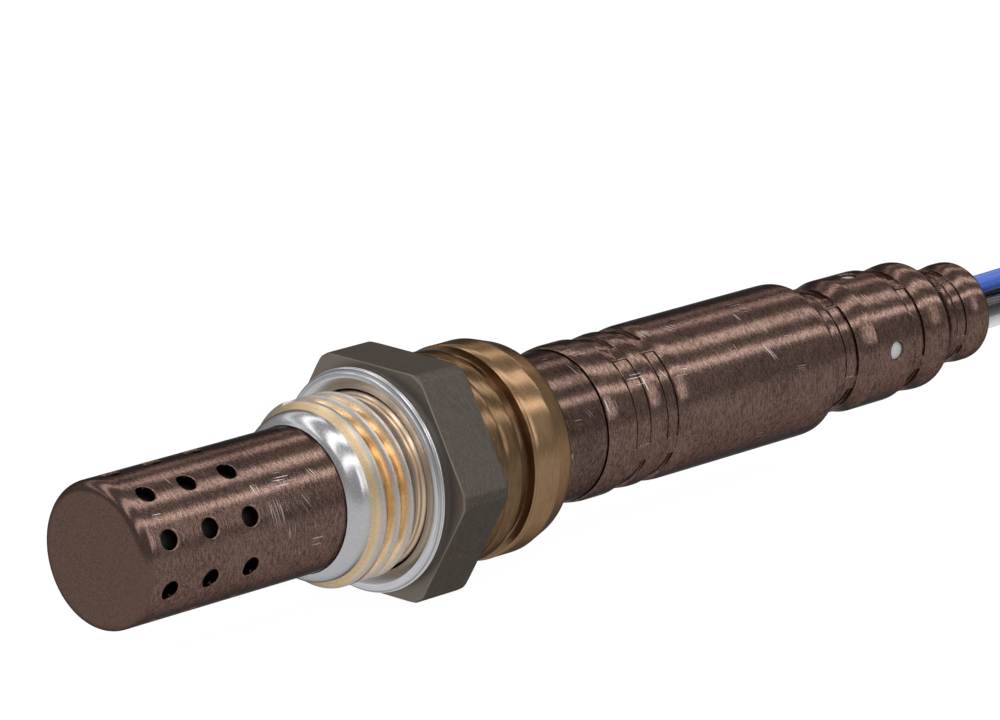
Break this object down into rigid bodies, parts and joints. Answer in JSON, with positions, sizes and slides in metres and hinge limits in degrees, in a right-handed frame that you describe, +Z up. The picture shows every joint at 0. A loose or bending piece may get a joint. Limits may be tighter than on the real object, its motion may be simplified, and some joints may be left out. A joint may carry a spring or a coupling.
{
  "type": "oxygen sensor",
  "caption": "Screw-in exhaust oxygen sensor with a perforated tip, folded gasket, hexagon, stepped rear cover and insulated leads that end in a plug.",
  "frame": {"origin": "centre of the gasket's front sealing face, on the sensor's axis", "axes": "+X along the sensor's axis from the tip towards the leads, +Z up as the sensor lies on one flat of its hexagon, +Y across"},
  "size_m": [0.2484, 0.0246, 0.022],
  "materials": {
    "stained_steel": "heat-stained, fine brushing",
    "shell_steel": "turned, heat-stained",
    "gasket_steel": "bright rolled",
    "inner_steel": "satin",
    "plated_contact": "plated",
    "zirconia": "matt",
    "alumina": "matt",
    "talc": "pressed powder",
    "filter_sleeve": "porous white",
    "grommet_rubber": "matt",
    "blue_insulation": "smooth",
    "white_insulation": "smooth",
    "black_insulation": "smooth",
    "plug_plastic": "fine grain",
    "seal_rubber": "matt",
    "lock_plastic": "smooth",
    "tie_band": "woven"
  },
  "bodies": {
    "root": {"outer_protector": "stained_steel", "inner_protector": "stained_steel", "shell": "shell_steel", "gasket": "gasket_steel", "packing_washer": "inner_steel", "sensing_element": "zirconia", "talc_ring": "talc", "insulator_ring": "alumina", "crimp_ring": "inner_steel", "heater_rod": "alumina", "inner_contact": "plated_contact", "outer_contact": "plated_contact", "separator": "alumina", "disc_spring": "inner_steel", "signal_terminal": "plated_contact", "ground_terminal": "plated_contact", "heater_terminal_1": "plated_contact", "heater_terminal_2": "plated_contact", "main_cover": "stained_steel", "filter": "filter_sleeve", "outer_cover": "stained_steel", "grommet": "grommet_rubber", "lead_blue": "blue_insulation", "lead_white": "white_insulation", "lead_black_1": "black_insulation", "lead_black_2": "black_insulation", "lead_hank": "black_insulation", "hank_tie": "tie_band", "connector_housing": "plug_plastic", "connector_seal": "seal_rubber", "wire_seals": "seal_rubber", "connector_pins": "plated_contact", "pin_lock": "lock_plastic"}
  },
  "joints": []
}
